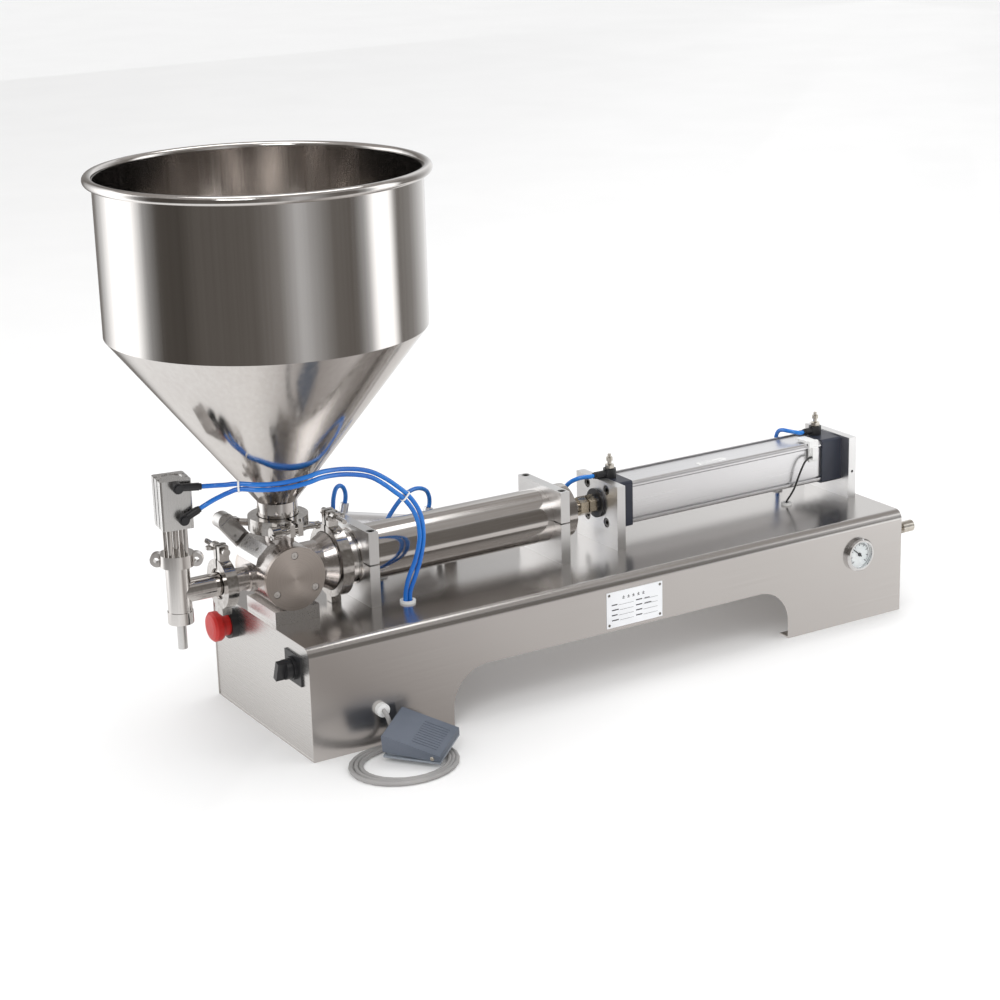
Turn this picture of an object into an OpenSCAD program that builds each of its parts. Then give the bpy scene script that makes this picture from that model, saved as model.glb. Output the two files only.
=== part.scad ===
// Pneumatic piston liquid filler, millimetres, +Z up, origin on the floor straight under the hopper axis.
/* [Base casing] */
// Length of the base casing
base_l = 950; // [946:2:980]
// Width of the base casing
base_w = 280; // [276:2:300]
// Height of the base casing
base_h = 150; // [148:1:156]
// Sheet thickness of the casing
sheet_t = 2; // [1.5:0.5:3]
// Outside bend radius along the top edges
bend_r = 13; // [8:1:16]
// Length of the arch cut in the front and back
arch_l = 544; // [480:2:560]
// Height of the arch
arch_h = 76; // [60:1:80]
/* [Product side] */
// Height of the main axis above the base top
axis_h = 57; // [56:0.5:58]
// Outside radius of the hopper wall
hopper_r = 200; // [190:1:205]
// Height of the hopper rim above the floor
hopper_top = 717; // [680:1:760]
// Bore radius of the material cylinder
bore_r = 35; // [34.5:0.1:35.2]
// Radius of the rotary valve body
valve_r = 41.5; // [41:0.1:42]
/* [Air side] */
// Working stroke of the pistons
stroke = 260; // [200:5:260]
// Bore radius of the air cylinder
air_bore_r = 25; // [24:0.1:25.2]
// Radius of the piston rod
rod_r = 10; // [9:0.1:10.4]
/* [Hidden] */
$fn = 64;
eps = 0.01;
left = -36;
right = left + base_l;
front = -base_w / 2;
axis_z = base_h + axis_h;
valve_x = 0;
arch_r = 52;
flange_w = 20;
panel_inset = 1;
cut = 2;
run_fit = 0.05;
gap = 0.3;
// gauge
gauge_x = left + 871;
gauge_z = 100;
gauge_r = 24;
gauge_cup_r = 20.5;
// stop button and selector on the left end
estop_y = 79;
estop_z = 120;
selector_y = -97;
selector_z = 114;
// air inlet on the right end
inlet_y = -118;
inlet_z = 115;
// grommets on the base top: x from the left end, y, hole radius
cord_x = left + 97;
cord_z = 49.5;
hose_x = left + 185.5;
hose_y = -59.3;
top_holes = [[146, 63, 5.2], [205, 48, 5.2], [486, 40, 4], [836, -20, 4], [870, 44, 4]];
ring_w = 3.5;
ring_h = 3;
// valve
cover_t = 6;
body_front = -36;
body_back = 42;
spool_r = 30;
leg_r = 14;
shaft_r = 8;
neck_top_z = axis_z + 67;
gasket_t = 2;
rim_t = 1.6;
rim_tan = 0.364;
outlet_x = left - 45;
port_x = left + 109;
screw_ring_r = 31;
crank_y0 = 52;
crank_y1 = 68;
crank_rest = 128.5;
crank_tip = 77;
// valve actuator
act_y = 78;
act_x = left + 322;
act_z = base_h + 33.4;
act_slope = 13.27;
act_len = 338;
act_body_r = 20;
act_s0 = 23;
act_s1 = 171;
// nozzle
noz_x = left - 105;
noz_r = 15.25;
noz_turn = -8;
cyl_z0 = 294;
cyl_z1 = 357;
// plates and cylinders
plate_x = [left + 135.6, left + 426.8];
plate_t = 14.2;
plate_hw = 53.5;
plate_h = 101;
plate_bolt_y = 45;
tube_r = bore_r + 2.25;
tube_x1 = left + 465;
air_plate_x = [left + 520.3, left + 925.7];
air_plate_t = 13.2;
air_plate_hw = 50.2;
air_plate_h = 91;
cap_w = 65;
cap_front = [left + 533.5, left + 558];
cap_rear = [left + 891, left + 925.7];
air_screw = 23.25;
piston_x = left + 395;
air_piston_x = cap_front[1] + 32 + stroke;
// pedal
ped_o = [left + 72.7, -186.4, 6.4];
ped_turn = -51.8;
ped_tilt = 10;
ped_a = 76.2;
ped_b = 68.1;
ped_back_h = 32.8;
ped_toe_h = 11.4;
ped_pin_u = 66;
ped_pin_w = 5.5;
coil_c = [left + 97, -208];
coil_r0 = 45.5;
coil_r1 = 64.5;
cord_r = 3;

function wx(v) = left + v;

module along_x(len) { rotate([90, 0, 90]) linear_extrude(len) children(); }
module along_y(len) { rotate([-90, 0, 0]) linear_extrude(len) mirror([0, 1]) children(); }
// cylinder and turned shapes about X or Y
module cyl_x(r, x0, x1) { translate([x0, 0, 0]) rotate([0, 90, 0]) cylinder(r = r, h = x1 - x0); }
module cyl_y(r, y0, y1) { translate([0, y0, 0]) rotate([-90, 0, 0]) cylinder(r = r, h = y1 - y0); }
module turn_x() { rotate([0, 90, 0]) rotate_extrude() children(); }
module turn_y() { rotate([-90, 0, 0]) rotate_extrude() children(); }
module hex_x(af, x0, x1)
{
    translate([x0, 0, 0]) rotate([0, 90, 0]) cylinder(r = af / sqrt(3), h = x1 - x0, $fn = 6);
}
// flat-bottomed outline with two rounded top corners
module outline(w, bottom, top, r)
{
    translate([-w / 2, bottom]) square([w, top - bottom - r]);
    translate([-w / 2 + r, bottom]) square([w - 2 * r, top - bottom]);
    for (s = [-1, 1]) translate([s * (w / 2 - r), top - r]) circle(r);
}
module rounded_square(w, r)
{
    square([w, w - 2 * r], center = true);
    square([w - 2 * r, w], center = true);
    for (a = [-1, 1]) for (b = [-1, 1]) translate([a * (w / 2 - r), b * (w / 2 - r)]) circle(r);
}

// ---- swept tubes -----------------------------------------------------------------
function unit(a) = a / norm(a);
function tangent(p, i) = unit(p[min(i + 1, len(p) - 1)] - p[max(i - 1, 0)]);
function side_of(t, u) = unit(u - (u * t) * t);
function frames(p, i, u, out) = i >= len(p) ? out
    : let (t = tangent(p, i), v = side_of(t, u)) frames(p, i + 1, v, concat(out, [[v, cross(t, v)]]));
module tube(path, r, sides)
{
    start = abs(tangent(path, 0)[1]) > 0.8 ? [1, 0, 0] : [0, 1, 0];
    f = frames(path, 0, start, []);
    pts = [for (i = [0 : len(path) - 1]) for (k = [0 : sides - 1])
        path[i] + r * (cos(360 * k / sides) * f[i][0] + sin(360 * k / sides) * f[i][1])];
    last = (len(path) - 1) * sides;
    walls = [for (i = [0 : len(path) - 2]) for (k = [0 : sides - 1])
        let (a = i * sides + k, b = i * sides + (k + 1) % sides) each
        [[a, b + sides, b], [a, a + sides, b + sides]]];
    ends = concat([for (k = [1 : sides - 2]) [0, k, k + 1]],
        [for (k = [1 : sides - 2]) [last, last + k + 1, last + k]]);
    polyhedron(pts, concat(walls, ends));
}

// ---- base casing -----------------------------------------------------------------
module base_shell()
{
    color("silver") difference()
    {
        union()
        {
            translate([left, 0, 0]) along_x(base_l) difference()
            {
                outline(base_w, 0, base_h, bend_r);
                outline(base_w - 2 * sheet_t, -cut, base_h - sheet_t, bend_r - sheet_t);
            }
            for (s = [-1, 1])
                translate([left, s * (base_w / 2 - flange_w / 2) - flange_w / 2, 0])
                cube([base_l, flange_w, sheet_t]);
            for (x = [left, right - flange_w]) translate([x, -base_w / 2, 0])
                cube([flange_w, base_w, sheet_t]);
        }
        translate([left + base_l / 2, -base_w / 2 - cut, 0]) along_y(base_w + 2 * cut)
            outline(arch_l, -cut, arch_h, arch_r);
        translate([gauge_x, 0, gauge_z]) cyl_y(gauge_cup_r, front - cut, front + 2 * cut);
        translate([cord_x, 0, cord_z]) cyl_y(4.5, front - cut, front + 2 * cut);
        translate([hose_x, hose_y, base_h - 2 * cut]) cylinder(r = 8, h = 4 * cut);
        for (h = top_holes) translate([wx(h[0]), h[1], base_h - 2 * cut])
            cylinder(r = h[2] + 0.8, h = 4 * cut);
    }
}
module end_panels()
{
    color("gainsboro")
    {
        difference()
        {
            translate([left + panel_inset, 0, 0]) along_x(sheet_t) panel_shape();
            translate([0, estop_y, estop_z]) cyl_x(11, left - cut, left + 3 * cut);
            translate([0, selector_y, selector_z]) cyl_x(11, left - cut, left + 3 * cut);
        }
        difference()
        {
            translate([right - panel_inset - sheet_t, 0, 0]) along_x(sheet_t) panel_shape();
            translate([0, inlet_y, inlet_z]) cyl_x(6.5, right - 3 * cut, right + cut);
        }
    }
}
module panel_shape() { outline(base_w - 2 * sheet_t, sheet_t, base_h - sheet_t, bend_r - sheet_t); }
module nameplate()
{
    plate_w = 90;
    plate_z = 50;
    color("white") difference()
    {
        translate([wx(440), front - 0.8, 81]) cube([plate_w, 0.8, plate_z]);
        for (a = [4, plate_w - 4]) for (b = [4, plate_z - 4])
            translate([wx(440) + a, 0, 81 + b]) cyl_y(1.2, front - 0.8 - cut, front - 0.4);
    }
}
module gauge_case()
{
    color("silver") translate([gauge_x, front, gauge_z]) difference()
    {
        union()
        {
            turn_y() polygon([[0, 0], [gauge_r, 0], [gauge_r, -5], [gauge_r - 2, -7], [0, -7]]);
            cyl_y(gauge_cup_r, 0, 22);
            cyl_y(7, 22, 34);
        }
        cyl_y(gauge_cup_r - 1, -7 - cut, -1);
        cyl_y(1.2, -2 * cut, 5);
    }
}
module gauge_needle()
{
    needle_t = 0.8;
    color("black") translate([gauge_x, front, gauge_z]) rotate([0, -140, 0])
    {
        cyl_y(0.9, -3, 4);
        cyl_y(2.6, -3.2, -2);
        translate([0, -2.8, -0.6]) cube([14, needle_t, 1.2]);
        translate([-5, -2.8, -0.9]) cube([5, needle_t, 1.8]);
    }
}
module gauge_lens()
{
    color("lightblue", 0.4) translate([gauge_x, front, gauge_z]) cyl_y(gauge_cup_r - 1, -6.4, -5);
}
module estop_collar()
{
    collar_r = 19.5;
    cup_r = 15.6;
    color("black") translate([left, estop_y, estop_z]) difference()
    {
        union()
        {
            cyl_x(collar_r, -9, panel_inset);
            cyl_x(11, 0, 14);
            translate([14, -14, -14]) cube([24, 28, 28]);
        }
        cyl_x(cup_r, -9 - cut, -2);
        cyl_x(5.5, -2 - cut, 30);
    }
}
module estop_button()
{
    color("red") translate([left, estop_y, estop_z])
    {
        turn_x() polygon([[0, -33], [12, -33], [17, -32], [20, -29], [20, -22], [18.5, -19],
            [15, -18], [15, -8], [5, -8], [5, 22], [0, 22]]);
    }
}
module selector_plate()
{
    plate_y = 43;
    plate_z = 39;
    color("black") translate([left, selector_y, selector_z]) difference()
    {
        union()
        {
            translate([-1.5, -plate_y / 2, -plate_z / 2]) cube([1.5 + panel_inset, plate_y, plate_z]);
            cyl_x(15, -6, 0);
            cyl_x(11, 0, 30);
        }
        cyl_x(4.4, -6 - cut, 26);
    }
}
module selector_knob()
{
    knob_w = 8;
    color("black") translate([left, selector_y, selector_z])
    {
        cyl_x(13, -14, -6.4);
        cyl_x(4, -14, 20);
        rotate([20, 0, 0]) translate([-25, -knob_w / 2, -13]) cube([14, knob_w, 26]);
    }
}
module air_inlet()
{
    color("silver") translate([right, inlet_y, inlet_z]) difference()
    {
        union()
        {
            cyl_x(6.5, -20, 0);
            hex_x(17, 0, 8);
            cyl_x(5, 8, 18);
            cyl_x(8.5, 18, 37);
        }
        cyl_x(4, -20 - cut, 37 + cut);
    }
}
module grommet(r_hole)
{
    difference()
    {
        union()
        {
            cylinder(r = r_hole + 0.8, h = 2 * ring_h, center = true);
            cylinder(r = r_hole + ring_w, h = ring_h);
        }
        translate([0, 0, -2 * ring_h]) cylinder(r = r_hole, h = 4 * ring_h);
    }
}
module grommets()
{
    color("white")
    {
        translate([hose_x, hose_y, base_h]) difference()
        {
            union()
            {
                translate([0, 0, -ring_h]) cylinder(r = 8, h = ring_h);
                cylinder(r = 10.5, h = ring_h);
            }
            translate([0, 0, -2 * ring_h]) cylinder(r = 6.8, h = 4 * ring_h);
        }
        for (h = top_holes) translate([wx(h[0]), h[1], base_h]) grommet(h[2]);
        translate([cord_x, front, cord_z]) difference()
        {
            union()
            {
                cyl_y(9, -7, 0);
                cyl_y(4.5, 0, 6);
            }
            cyl_y(cord_r, -7 - cut, 6 + cut);
        }
    }
}

// ---- rotary valve ------------------------------------------------------------------
module valve_pedestal()
{
    ped_hw = 31;
    color("silver") difference()
    {
        translate([valve_x - ped_hw, -valve_r, base_h]) cube([2 * ped_hw, 2 * valve_r, 18]);
        translate([valve_x, 0, axis_z]) cyl_y(valve_r, -valve_r - cut, valve_r + cut);
    }
}
module valve_body()
{
    rim_out = 25;
    rim_hop = 32;
    rim_cyl = 42;
    color("silver") translate([valve_x, 0, axis_z]) difference()
    {
        union()
        {
            cyl_y(valve_r, body_front, body_back);
            // top neck with ferrule
            rotate_extrude() polygon([[0, 30], [19, 30], [19, 60.7], [rim_hop, 64.4],
                [rim_hop, 66], [0, 66]]);
            // outlet pipe with collar and ferrule
            turn_x() polygon([[0, -30], [17.5, -30], [17.5, -49], [15, -49], [15, -75.8],
                [rim_out, -78.4], [rim_out, -80], [0, -80]]);
            // cylinder port with ferrule
            turn_x() polygon([[0, 20], [30, 20], [30, 50], [38, 64], [38, 68.9],
                [rim_cyl, 70.4], [rim_cyl, 72], [0, 72]]);
        }
        cyl_y(spool_r, body_front - cut, body_back + cut);
        cylinder(r = 16, h = 70);
        turn_x() polygon([[0, -82], [12.5, -82], [12.5, 0], [leg_r, 0], [leg_r, 40], [26, 62],
            [26, 74], [0, 74]]);
    }
}
module valve_cover()
{
    color("silver") translate([valve_x, 0, axis_z]) difference()
    {
        cyl_y(valve_r, body_front - cover_t, body_front);
        for (a = [90, 210, 330]) rotate([0, -a, 0]) translate([screw_ring_r, 0, 0])
        {
            cyl_y(5, body_front - cover_t - cut, body_front - cover_t + 3);
            cyl_y(1.1, body_front - cover_t, body_front - 2);
        }
    }
}
module valve_rear_plate()
{
    color("silver") translate([valve_x, 0, axis_z]) difference()
    {
        union()
        {
            cyl_y(valve_r, body_back, body_back + cover_t);
            cyl_y(14, body_back, crank_y0 - 1);
        }
        cyl_y(shaft_r + run_fit, body_back - cut, crank_y0);
    }
}
module valve_spool()
{
    plug_r = spool_r - run_fit;
    color("gray") translate([valve_x, 0, axis_z]) difference()
    {
        union()
        {
            cyl_y(plug_r, body_front + gap, body_back - gap);
            cyl_y(shaft_r, body_back - cut, crank_y1 + 1);
        }
        translate([0, 0, -spool_r]) cylinder(r = leg_r, h = 2 * spool_r);
        cyl_x(leg_r, 0, spool_r);
    }
}
module valve_crank()
{
    arm_hw = 11;
    color("silver") translate([valve_x, 0, axis_z]) rotate([0, -crank_rest, 0]) difference()
    {
        union()
        {
            cyl_y(15, crank_y0, crank_y1);
            translate([0, crank_y0, -arm_hw]) cube([crank_tip, crank_y1 - crank_y0, 2 * arm_hw]);
            translate([crank_tip, 0, 0]) cyl_y(arm_hw, crank_y0, crank_y1);
            translate([39, crank_y0 - 1.5, -8]) cube([39, 1.5, 16]);
        }
        cyl_y(shaft_r, crank_y0 - cut, crank_y1 + cut);
    }
}
module stop_bracket()
{
    color("silver") translate([valve_x, 0, axis_z]) difference()
    {
        rotate([0, -42, 0]) translate([0, -14, 0]) along_y(60)
            polygon([[-18, 34], [18, 34], [18, 41], [10, 45.8], [-10, 45.8], [-18, 41]]);
        cyl_y(valve_r, -valve_r, valve_r + cut);
        cyl_y(valve_r + gap, body_back, body_back + 2 * cover_t);
        cylinder(r = 19 + gap, h = 80);
        cyl_x(17.5 + gap, -60, 0);
        rotate([0, -42, 0]) for (y = [2, 34]) translate([0, y, 42]) cylinder(r = 2.5, h = 6);
    }
}

// ---- valve actuator ------------------------------------------------------------------
// local frame: origin at the rear pivot, +X towards the crank
module act_frame()
{
    translate([act_x, act_y, act_z]) rotate([0, 180 + act_slope, 0]) mirror([0, 0, 1]) children();
}
module actuator_cylinder()
{
    color("silver") act_frame() difference()
    {
        union()
        {
            cyl_x(act_body_r, act_s0, act_s1);
            translate([-8, -7, -8]) cube([act_s0 + 8, 14, 16]);
            for (s = [31.9, 162.4]) translate([s, 0, act_body_r - 2]) cylinder(r = 6, h = 14);
        }
        cyl_x(16, act_s0 + 8, act_s1 - 10);
        cyl_x(5 + run_fit, act_s1 - 10 - cut, act_s1 + cut);
        cyl_y(4 + run_fit, -10, 10);
    }
}
module actuator_rod()
{
    eye_x = act_len;
    color("silver") act_frame()
    {
        cyl_x(16 - gap, 130, 142);
        cyl_x(5, 142, eye_x - 8);
        translate([eye_x, 0, 0]) cyl_y(10, crank_y1 - act_y + 1, 9);
        translate([eye_x, 0, 0]) cyl_y(5, crank_y1 - act_y + 0.4, crank_y1 - act_y + 1);
        translate([eye_x - 22, -6, -6]) cube([14, 12, 12]);
    }
}
module actuator_bracket()
{
    cheek_t = 5;
    color("silver")
    {
        translate([act_x - 17, act_y - 20, base_h]) cube([34, 40, 4]);
        for (s = [-1, 1]) difference()
        {
            translate([act_x - 10, act_y + s * 10.5 - cheek_t / 2, base_h + 4])
                cube([20, cheek_t, act_z - base_h + 6]);
            translate([act_x, act_y, act_z]) cyl_y(4, -20, 20);
        }
        translate([act_x, act_y, act_z]) cyl_y(4, -14, 14);
    }
}

// ---- filling nozzle --------------------------------------------------------------------
module nozzle_tee()
{
    color("silver") translate([noz_x, 0, 0]) difference()
    {
        union()
        {
            translate([0, 0, 183]) cylinder(r = noz_r, h = 60);
            translate([0, 0, axis_z]) turn_x() polygon([[0, 0], [15, 0], [15, 55], [25, 57.4],
                [25, 59], [0, 59]]);
            translate([0, 0, 172]) cylinder(r = 12, h = 12);
        }
        translate([0, 0, 172 - cut]) cylinder(r = 10, h = 71 + 2 * cut);
        translate([0, 0, axis_z]) cyl_x(12.5, 5, 60);
    }
}
module nozzle_nut()
{
    color("silver") translate([noz_x, 0, 167.5]) difference()
    {
        cylinder(r = 16.2, h = 15.5);
        translate([0, 0, 2.5]) cylinder(r = 12, h = 14);
        translate([0, 0, -cut]) cylinder(r = 6, h = 8);
    }
}
module nozzle_tip()
{
    color("silver") translate([noz_x, 0, 0]) rotate_extrude()
        polygon([[4.2, 133], [6, 133], [6, 167], [5.2, 167], [5.2, 170], [12, 170], [12, 172],
            [4.2, 172]]);
}
module nozzle_bonnet()
{
    post = 10;
    ear_x = 24;
    color("silver") translate([noz_x, 0, 243])
    {
        difference()
        {
            union()
            {
                cylinder(r = 22, h = 16);
                rotate([0, 0, -31]) for (s = [-1, 1])
                {
                    translate([s * ear_x, 0, 8]) cyl_y(9, -5, 5);
                    translate([s * ear_x / 2 - 8, -5, 2]) cube([16, 10, 12]);
                }
            }
            translate([0, 0, -cut]) cylinder(r = 4 + run_fit, h = 16 + 2 * cut);
            rotate([0, 0, -31]) for (s = [-1, 1]) translate([s * (ear_x + 1), 0, 8]) cyl_y(3.5, -6, 6);
        }
        rotate([0, 0, noz_turn]) for (a = [-1, 1]) for (b = [-1, 1])
            translate([a * post, b * post, 16]) cylinder(r = 3.3, h = cyl_z0 - 259);
    }
}
module nozzle_cylinder()
{
    slot_x = 20;
    color("gainsboro") translate([noz_x, 0, 0]) rotate([0, 0, noz_turn]) difference()
    {
        translate([0, 0, cyl_z0]) linear_extrude(cyl_z1 - cyl_z0) difference()
        {
            rounded_square(40, 3);
            for (y = [-7, 7]) translate([-slot_x - eps, y - 1.5]) square([4, 3]);
            for (y = [-7, 7]) translate([slot_x - 4 + eps, y - 1.5]) square([4, 3]);
        }
        translate([0, 0, cyl_z0 + 6]) cylinder(r = 13, h = 44);
        translate([0, 0, cyl_z0 - cut]) cylinder(r = 4 + run_fit, h = 12);
        translate([0, 0, cyl_z1 - 1]) cylinder(r = 14, h = 1 + cut);
    }
}
module nozzle_needle()
{
    color("silver") translate([noz_x, 0, 0]) rotate_extrude() polygon([[0, 169], [3.4, 169],
        [4.2, 172.3], [9, 172.3], [9, 182], [4, 188], [4, 303], [12.6, 303], [12.6, 313], [0, 313]]);
}

// ---- hopper and sanitary clamps ------------------------------------------------------------
module hopper()
{
    shoulder_z = 525;
    neck_r = 25.5;
    wall = 1.5;
    rim_hop = 32;
    face = neck_top_z + gasket_t / 2;
    cone_z = face + 27;
    in_r = neck_r - wall;
    color("silver") translate([valve_x, 0, 0]) rotate_extrude()
    {
        polygon([[in_r, face], [rim_hop, face], [rim_hop, face + rim_t], [neck_r, face + 4],
            [neck_r, cone_z], [hopper_r, shoulder_z], [hopper_r, hopper_top],
            [hopper_r - wall, hopper_top], [hopper_r - wall, shoulder_z + 0.5],
            [in_r, cone_z + 0.5]]);
        translate([hopper_r + 5, hopper_top]) circle(6, $fn = 32);
    }
}
// V clamp ring about Z with its split at +X; the bolt lies along Y beyond the split
module clamp_ring(rim_r, out_r, w, neck_r, bolt_off)
{
    half = gasket_t / 2 + rim_t + gap;
    inner = rim_r - 5;
    lug_w = 18;
    difference()
    {
        union()
        {
            difference()
            {
                cylinder(r = out_r, h = w, center = true);
                cylinder(r = inner, h = w + cut, center = true);
            }
            translate([out_r - 3, -lug_w / 2, -w / 2 + 1]) cube([bolt_off + 9, lug_w, w - 2]);
            translate([-out_r - 9, -7, -w / 2 + 1]) cube([12, 14, w - 2]);
        }
        rotate_extrude() polygon([[0, -half - rim_r * rim_tan], [rim_r + gap, -half],
            [rim_r + gap, half], [0, half + rim_r * rim_tan]]);
        translate([inner - cut, -2, -w]) cube([out_r + bolt_off, 4, 2 * w]);
        cylinder(r = neck_r + gap, h = 2 * w, center = true);
    }
}
module clamp_bolt(off, y0, y1, head_y)
{
    translate([off, 0, 0])
    {
        cyl_y(3, y0, y1);
        cyl_y(5, head_y, head_y + 4);
    }
}
// turn a Z-axis clamp so that its axis lies along X and its split points up
module ring_x() { rotate([0, -90, 0]) children(); }
// hopper clamp frame: split and bolt towards the front
module hopper_ring_frame() { translate([valve_x, 0, neck_top_z]) rotate([0, 0, -90]) children(); }
module hopper_clamp()
{
    color("silver") hopper_ring_frame()
    {
        clamp_ring(32, 38.5, 18, 26, 8);
        clamp_bolt(46.5, -31, 34, 30);
    }
}
module outlet_clamp()
{
    color("silver") translate([outlet_x, 0, axis_z]) ring_x()
    {
        clamp_ring(25, 32, 15, 18, 12);
        clamp_bolt(44, -13, 44, -17);
    }
}
module cylinder_clamp()
{
    color("silver") translate([port_x, 0, axis_z]) ring_x() mirror([0, 1, 0])
    {
        clamp_ring(42, 47.5, 16, 38.6, 14);
        clamp_bolt(61.5, -13, 42, -17);
    }
}
// nut with two looped wings, axis along Y, seat at y0
module wing_nut(y0, span)
{
    difference()
    {
        union()
        {
            cyl_y(6.5, y0, y0 + 10);
            for (s = [-1, 1]) translate([s * span * 0.62, y0 + 6, 0])
                cylinder(r = span * 0.36, h = 4, center = true);
        }
        cyl_y(3 + run_fit, y0 - cut, y0 + 22);
        for (s = [-1, 1]) translate([s * span * 0.66, y0 + 6.5, 0])
            cylinder(r = span * 0.2, h = 6, center = true);
    }
}
module hopper_clamp_nut()
{
    slot_w = 2.4;
    color("silver") hopper_ring_frame() translate([46.5, 0, 0]) difference()
    {
        cyl_y(8, -33, -21);
        cyl_y(3 + run_fit, -31.3, 0);
        for (a = [0, 60, 120]) rotate([0, a, 0]) translate([3, -33 - cut, -slot_w / 2])
            cube([8, 3 + cut, slot_w]);
    }
}
module outlet_wing_nut()
{
    color("silver") translate([outlet_x, 0, axis_z + 44]) wing_nut(9 + gap, 14);
}
module cylinder_wing_nut()
{
    color("silver") translate([port_x, 0, axis_z + 61.5]) mirror([0, 1, 0]) wing_nut(9 + gap, 14);
}
module gasket_ring(r0, r1)
{
    difference()
    {
        cylinder(r = r1, h = gasket_t, center = true);
        cylinder(r = r0, h = gasket_t + cut, center = true);
    }
}
module clamp_gaskets()
{
    color("white")
    {
        translate([valve_x, 0, neck_top_z]) gasket_ring(24, 31.5);
        translate([outlet_x, 0, axis_z]) ring_x() gasket_ring(12.5, 24.5);
        translate([port_x, 0, axis_z]) ring_x() gasket_ring(26, 41.5);
    }
}

// ---- material cylinder -------------------------------------------------------------------------
module material_cylinder()
{
    x0 = port_x + gasket_t / 2;
    color("silver") translate([0, 0, axis_z]) turn_x() polygon([[26, x0], [42, x0],
        [42, x0 + rim_t], [35, x0 + 4.2], [35, wx(134)], [tube_r, wx(134)], [tube_r, tube_x1],
        [bore_r, tube_x1], [bore_r, wx(130)], [26, wx(121)]]);
}
module split_block(x, z0, z1)
{
    sink = 7;
    translate([x, -plate_hw, z0]) difference()
    {
        cube([plate_t, 2 * plate_hw, z1 - z0]);
        translate([0, plate_hw, axis_z - z0]) cyl_x(tube_r, -cut, plate_t + cut);
        for (s = [-1, 1]) translate([plate_t / 2, plate_hw + s * plate_bolt_y, 0])
        {
            translate([0, 0, z0 > axis_z ? -cut : z1 - z0 - 30]) cylinder(r = 3, h = 60);
            if (z0 > axis_z) translate([0, 0, z1 - z0 - sink]) cylinder(r = 5.4, h = sink + cut);
        }
    }
}
module split_block_bases()
{
    color("gainsboro") for (x = plate_x) split_block(x, base_h, axis_z - 1);
}
module split_block_caps()
{
    color("gainsboro") for (x = plate_x) split_block(x, axis_z + 1, base_h + plate_h);
}
// socket head screw along -Z from its head top
module socket_screw(head_r, head_h, shank_r, shank_l, key)
{
    difference()
    {
        union()
        {
            translate([0, 0, -head_h]) cylinder(r = head_r, h = head_h);
            translate([0, 0, -head_h - shank_l]) cylinder(r = shank_r, h = shank_l);
        }
        translate([0, 0, -head_h * 0.6]) cylinder(r = key / sqrt(3), h = head_h, $fn = 6);
    }
}
module socket_screws()
{
    color("dimgray")
    {
        for (x = plate_x) for (s = [-1, 1])
            translate([x + plate_t / 2, s * plate_bolt_y, base_h + plate_h - 1])
                socket_screw(5, 6, 3, 62, 5);
        for (a = [90, 210, 330]) translate([valve_x, body_front - cover_t + 0.4, axis_z])
            rotate([0, -a, 0]) translate([screw_ring_r, 0, 0]) rotate([90, 0, 0])
            socket_screw(4.4, 2.6, 1, 0.5, 3.4);
        for (a = [-1, 1]) for (b = [-1, 1])
        {
            translate([air_plate_x[0] + 1, a * air_screw, axis_z + b * air_screw])
                rotate([0, -90, 0]) socket_screw(6.5, 7, 4, 16, 6);
            translate([air_plate_x[1] + air_plate_t - 1, a * air_screw, axis_z + b * air_screw])
                rotate([0, 90, 0]) socket_screw(6.5, 7, 4, 16, 6);
        }
    }
}
module material_piston()
{
    seal_r = bore_r - run_fit;
    color("white") translate([piston_x, 0, axis_z])
    {
        difference()
        {
            turn_x() polygon([[0, 0], [30, 0], [seal_r - 1, 4], [seal_r - 1, 56], [30, 60], [0, 60]]);
            cyl_x(rod_r, 30, 60 + cut);
            for (x = [10, 44]) translate([x, 0, 0]) turn_x()
                translate([31, 0]) square([10, 6]);
        }
        for (x = [10, 44]) translate([x, 0, 0]) turn_x() translate([31, 0]) square([seal_r - 31, 6]);
    }
}
module rod_nuts()
{
    color("gold") for (x = [487, 501]) difference()
    {
        translate([wx(x), 0, axis_z]) hex_x(24, 0, 12);
        translate([wx(x), 0, axis_z]) cyl_x(8, -cut, 12 + cut);
    }
}
module piston_rod()
{
    color("silver") translate([0, 0, axis_z])
    {
        cyl_x(rod_r, piston_x + 30, wx(480));
        cyl_x(8, wx(480), wx(514));
        cyl_x(rod_r, wx(514), air_piston_x);
        cyl_x(8, air_piston_x, air_piston_x + 38);
    }
}
module air_piston()
{
    color("dimgray") translate([air_piston_x, 0, axis_z]) difference()
    {
        cyl_x(air_bore_r - run_fit, 0, 38);
        cyl_x(8, -cut, 38 + cut);
        for (x = [8, 26]) translate([x, 0, 0]) turn_x() translate([21, 0]) square([10, 4]);
    }
}

// ---- air cylinder ----------------------------------------------------------------------------
module rod_gland()
{
    color("black") translate([0, 0, axis_z]) difference()
    {
        union()
        {
            cyl_x(20.5, air_plate_x[0] - 4, air_plate_x[0]);
            cyl_x(15, air_plate_x[0], cap_front[0] + 12);
        }
        cyl_x(rod_r + run_fit, air_plate_x[0] - 4 - cut, cap_front[0] + 12 + cut);
    }
}
module air_end_plates()
{
    color("gainsboro") for (i = [0, 1]) difference()
    {
        translate([air_plate_x[i], -air_plate_hw, base_h])
            cube([air_plate_t, 2 * air_plate_hw, air_plate_h]);
        if (i == 0) translate([0, 0, axis_z]) cyl_x(15, air_plate_x[i] - cut, air_plate_x[i] + 20);
        for (a = [-1, 1]) for (b = [-1, 1])
            translate([0, a * air_screw, axis_z + b * air_screw])
        {
            cyl_x(4, air_plate_x[i] - cut, air_plate_x[i] + air_plate_t + cut);
            translate([air_plate_x[i] + (i == 0 ? -cut : air_plate_t - 8), 0, 0])
                cyl_x(7, 0, 8 + cut);
        }
        if (i == 1) translate([air_plate_x[i] + air_plate_t / 2, 0, base_h + 40])
            cyl_y(2, -air_plate_hw - cut, -air_plate_hw + 10);
    }
}
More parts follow.
